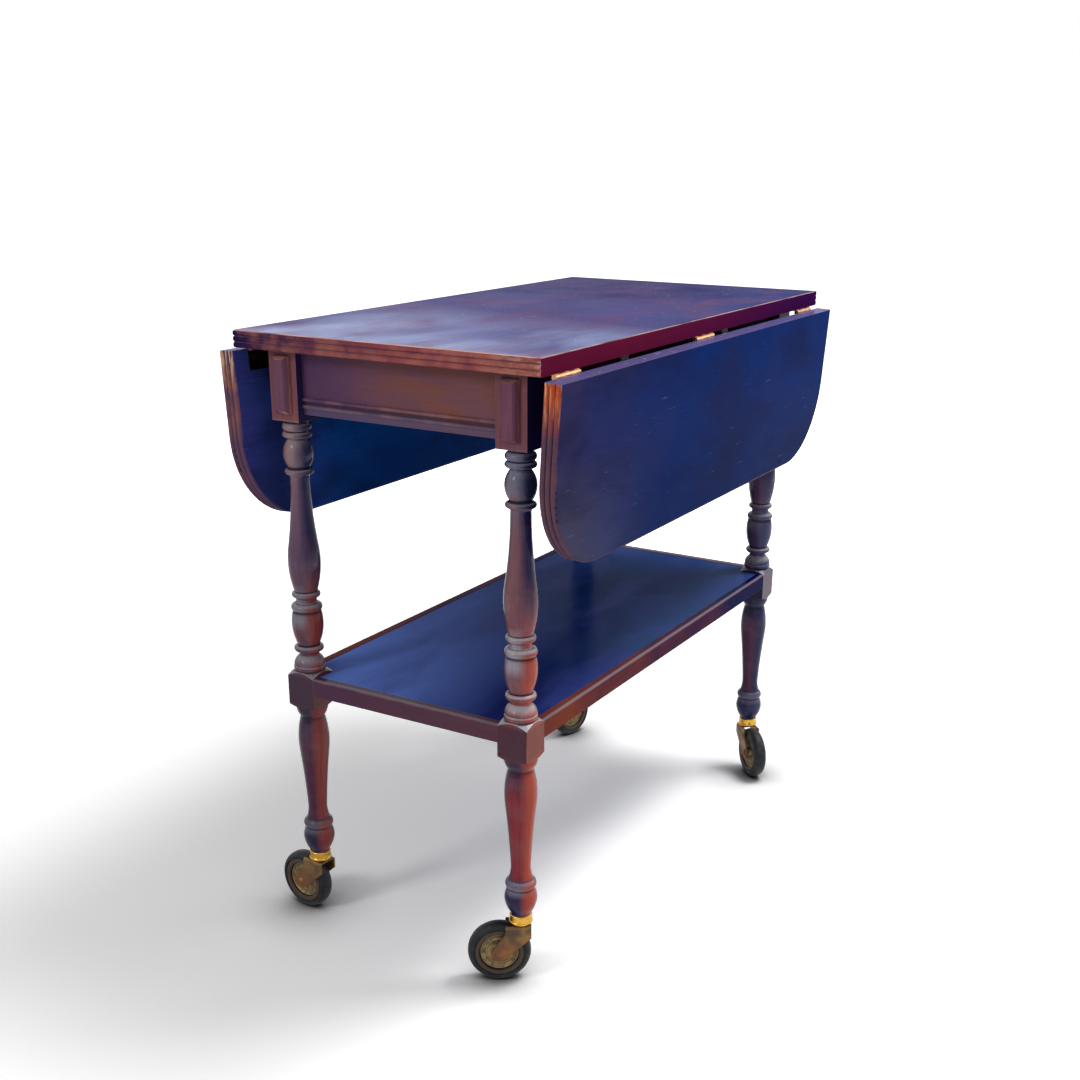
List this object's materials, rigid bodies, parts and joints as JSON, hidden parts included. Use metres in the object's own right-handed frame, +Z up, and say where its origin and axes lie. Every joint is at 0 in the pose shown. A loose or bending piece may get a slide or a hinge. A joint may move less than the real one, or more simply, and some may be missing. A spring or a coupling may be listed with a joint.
{
  "type": "drop leaf tea trolley",
  "caption": "Narrow wheeled serving table with a hinged leaf hanging along each long side, turned legs, a low shelf and swivelling castors.",
  "frame": {"origin": "on the floor under the middle of the table", "axes": "+X along the length, from the front end to the rear end; +Y across the width, towards the left leaf; +Z up"},
  "size_m": [0.762, 0.4374, 0.73],
  "materials": {
    "top_wood": "dark mahogany, polished, lightly scuffed",
    "leaf_wood": "dark mahogany, polished",
    "shelf_wood": "dark mahogany, polished",
    "frame_wood": "red-brown mahogany, polished",
    "inner_wood": "bare",
    "brass": "worn satin",
    "steel": "satin",
    "castor_metal": "tarnished bronze colour",
    "wheel_disc": "dull",
    "tyre": "worn"
  },
  "bodies": {
    "frame": {"table_top": "top_wood", "front_right_leg": "frame_wood", "front_left_leg": "frame_wood", "rear_right_leg": "frame_wood", "rear_left_leg": "frame_wood", "corner_pads": "frame_wood", "front_apron": "frame_wood", "rear_apron": "frame_wood", "right_apron": "frame_wood", "left_apron": "frame_wood", "apron_dowels": "inner_wood", "corner_blocks": "inner_wood", "corner_block_screws": "steel", "front_shelf_rail": "frame_wood", "rear_shelf_rail": "frame_wood", "right_shelf_rail": "frame_wood", "left_shelf_rail": "frame_wood", "rail_dowels": "inner_wood", "shelf_panel": "shelf_wood", "castor_ferrules": "brass", "castor_sockets": "steel", "right_hinge_top_plates": "brass", "left_hinge_top_plates": "brass", "hinge_pins": "brass", "frame_screws": "brass", "right_stay_brackets": "steel", "left_stay_brackets": "steel"},
    "right_leaf_body": {"right_leaf": "leaf_wood", "right_hinge_leaf_plates": "brass", "right_leaf_screws": "brass", "right_stay_lugs": "steel"},
    "right_long_arms": {"right_stay_long_arms": "steel"},
    "right_short_arms": {"right_stay_short_arms": "steel"},
    "left_leaf_body": {"left_leaf": "leaf_wood", "left_hinge_leaf_plates": "brass", "left_leaf_screws": "brass", "left_stay_lugs": "steel"},
    "left_long_arms": {"left_stay_long_arms": "steel"},
    "left_short_arms": {"left_stay_short_arms": "steel"},
    "front_right_castor": {"front_right_castor_fork": "castor_metal", "front_right_castor_stem": "castor_metal", "front_right_castor_axle": "castor_metal"},
    "front_right_wheel": {"front_right_castor_wheel_disc": "wheel_disc", "front_right_castor_tyre": "tyre"},
    "front_left_castor": {"front_left_castor_fork": "castor_metal", "front_left_castor_stem": "castor_metal", "front_left_castor_axle": "castor_metal"},
    "front_left_wheel": {"front_left_castor_wheel_disc": "wheel_disc", "front_left_castor_tyre": "tyre"},
    "rear_right_castor": {"rear_right_castor_fork": "castor_metal", "rear_right_castor_stem": "castor_metal", "rear_right_castor_axle": "castor_metal"},
    "rear_right_wheel": {"rear_right_castor_wheel_disc": "wheel_disc", "rear_right_castor_tyre": "tyre"},
    "rear_left_castor": {"rear_left_castor_fork": "castor_metal", "rear_left_castor_stem": "castor_metal", "rear_left_castor_axle": "castor_metal"},
    "rear_left_wheel": {"rear_left_castor_wheel_disc": "wheel_disc", "rear_left_castor_tyre": "tyre"}
  },
  "joints": [
    {"name": "right_leaf_hinge", "type": "hinge", "parent": "frame", "child": "right_leaf_body", "pos_m": [0, -0.196, 0.7072], "axis": [-1, 0, 0], "range_deg": [0, 93.2]},
    {"name": "right_long_arm_pivot", "type": "hinge", "parent": "frame", "child": "right_long_arms", "pos_m": [0, -0.168, 0.6664], "axis": [-1, 0, 0], "range_deg": [0, 119.1]},
    {"name": "right_short_arm_pivot", "type": "hinge", "parent": "right_leaf_body", "child": "right_short_arms", "pos_m": [0, -0.18576, 0.64768], "axis": [-1, 0, 0], "range_deg": [-125.4, 0]},
    {"name": "left_leaf_hinge", "type": "hinge", "parent": "frame", "child": "left_leaf_body", "pos_m": [0, 0.196, 0.7072], "axis": [1, 0, 0], "range_deg": [0, 93.2]},
    {"name": "left_long_arm_pivot", "type": "hinge", "parent": "frame", "child": "left_long_arms", "pos_m": [0, 0.168, 0.6664], "axis": [1, 0, 0], "range_deg": [0, 119.1]},
    {"name": "left_short_arm_pivot", "type": "hinge", "parent": "left_leaf_body", "child": "left_short_arms", "pos_m": [0, 0.18576, 0.64768], "axis": [1, 0, 0], "range_deg": [-125.4, 0]},
    {"name": "front_right_swivel", "type": "hinge", "parent": "frame", "child": "front_right_castor", "pos_m": [-0.3385, -0.148, 0.0745], "axis": [0, 0, 1], "continuous": true},
    {"name": "front_right_wheel_spin", "type": "hinge", "parent": "front_right_castor", "child": "front_right_wheel", "pos_m": [-0.35175, -0.1268, 0.037], "axis": [-0.848, -0.5299, 0], "continuous": true},
    {"name": "front_left_swivel", "type": "hinge", "parent": "frame", "child": "front_left_castor", "pos_m": [-0.3385, 0.148, 0.0745], "axis": [0, 0, 1], "continuous": true},
    {"name": "front_left_wheel_spin", "type": "hinge", "parent": "front_left_castor", "child": "front_left_wheel", "pos_m": [-0.33632, 0.1729, 0.037], "axis": [-0.9962, 0.0872, 0], "continuous": true},
    {"name": "rear_right_swivel", "type": "hinge", "parent": "frame", "child": "rear_right_castor", "pos_m": [0.3385, -0.148, 0.0745], "axis": [0, 0, 1], "continuous": true},
    {"name": "rear_right_wheel_spin", "type": "hinge", "parent": "rear_right_castor", "child": "rear_right_wheel", "pos_m": [0.32082, -0.16568, 0.037], "axis": [0.7071, -0.7071, 0], "continuous": true},
    {"name": "rear_left_swivel", "type": "hinge", "parent": "frame", "child": "rear_left_castor", "pos_m": [0.3385, 0.148, 0.0745], "axis": [0, 0, 1], "continuous": true},
    {"name": "rear_left_wheel_spin", "type": "hinge", "parent": "rear_left_castor", "child": "rear_left_wheel", "pos_m": [0.31435, 0.15447, 0.037], "axis": [-0.2588, -0.9659, 0], "continuous": true}
  ],
  "couplings": [
    {"joint": "right_long_arm_pivot", "follows": "right_leaf_hinge", "ratio": 1.2766},
    {"joint": "right_short_arm_pivot", "follows": "right_leaf_hinge", "ratio": -1.3444},
    {"joint": "left_long_arm_pivot", "follows": "left_leaf_hinge", "ratio": 1.2766},
    {"joint": "left_short_arm_pivot", "follows": "left_leaf_hinge", "ratio": -1.3444}
  ]
}
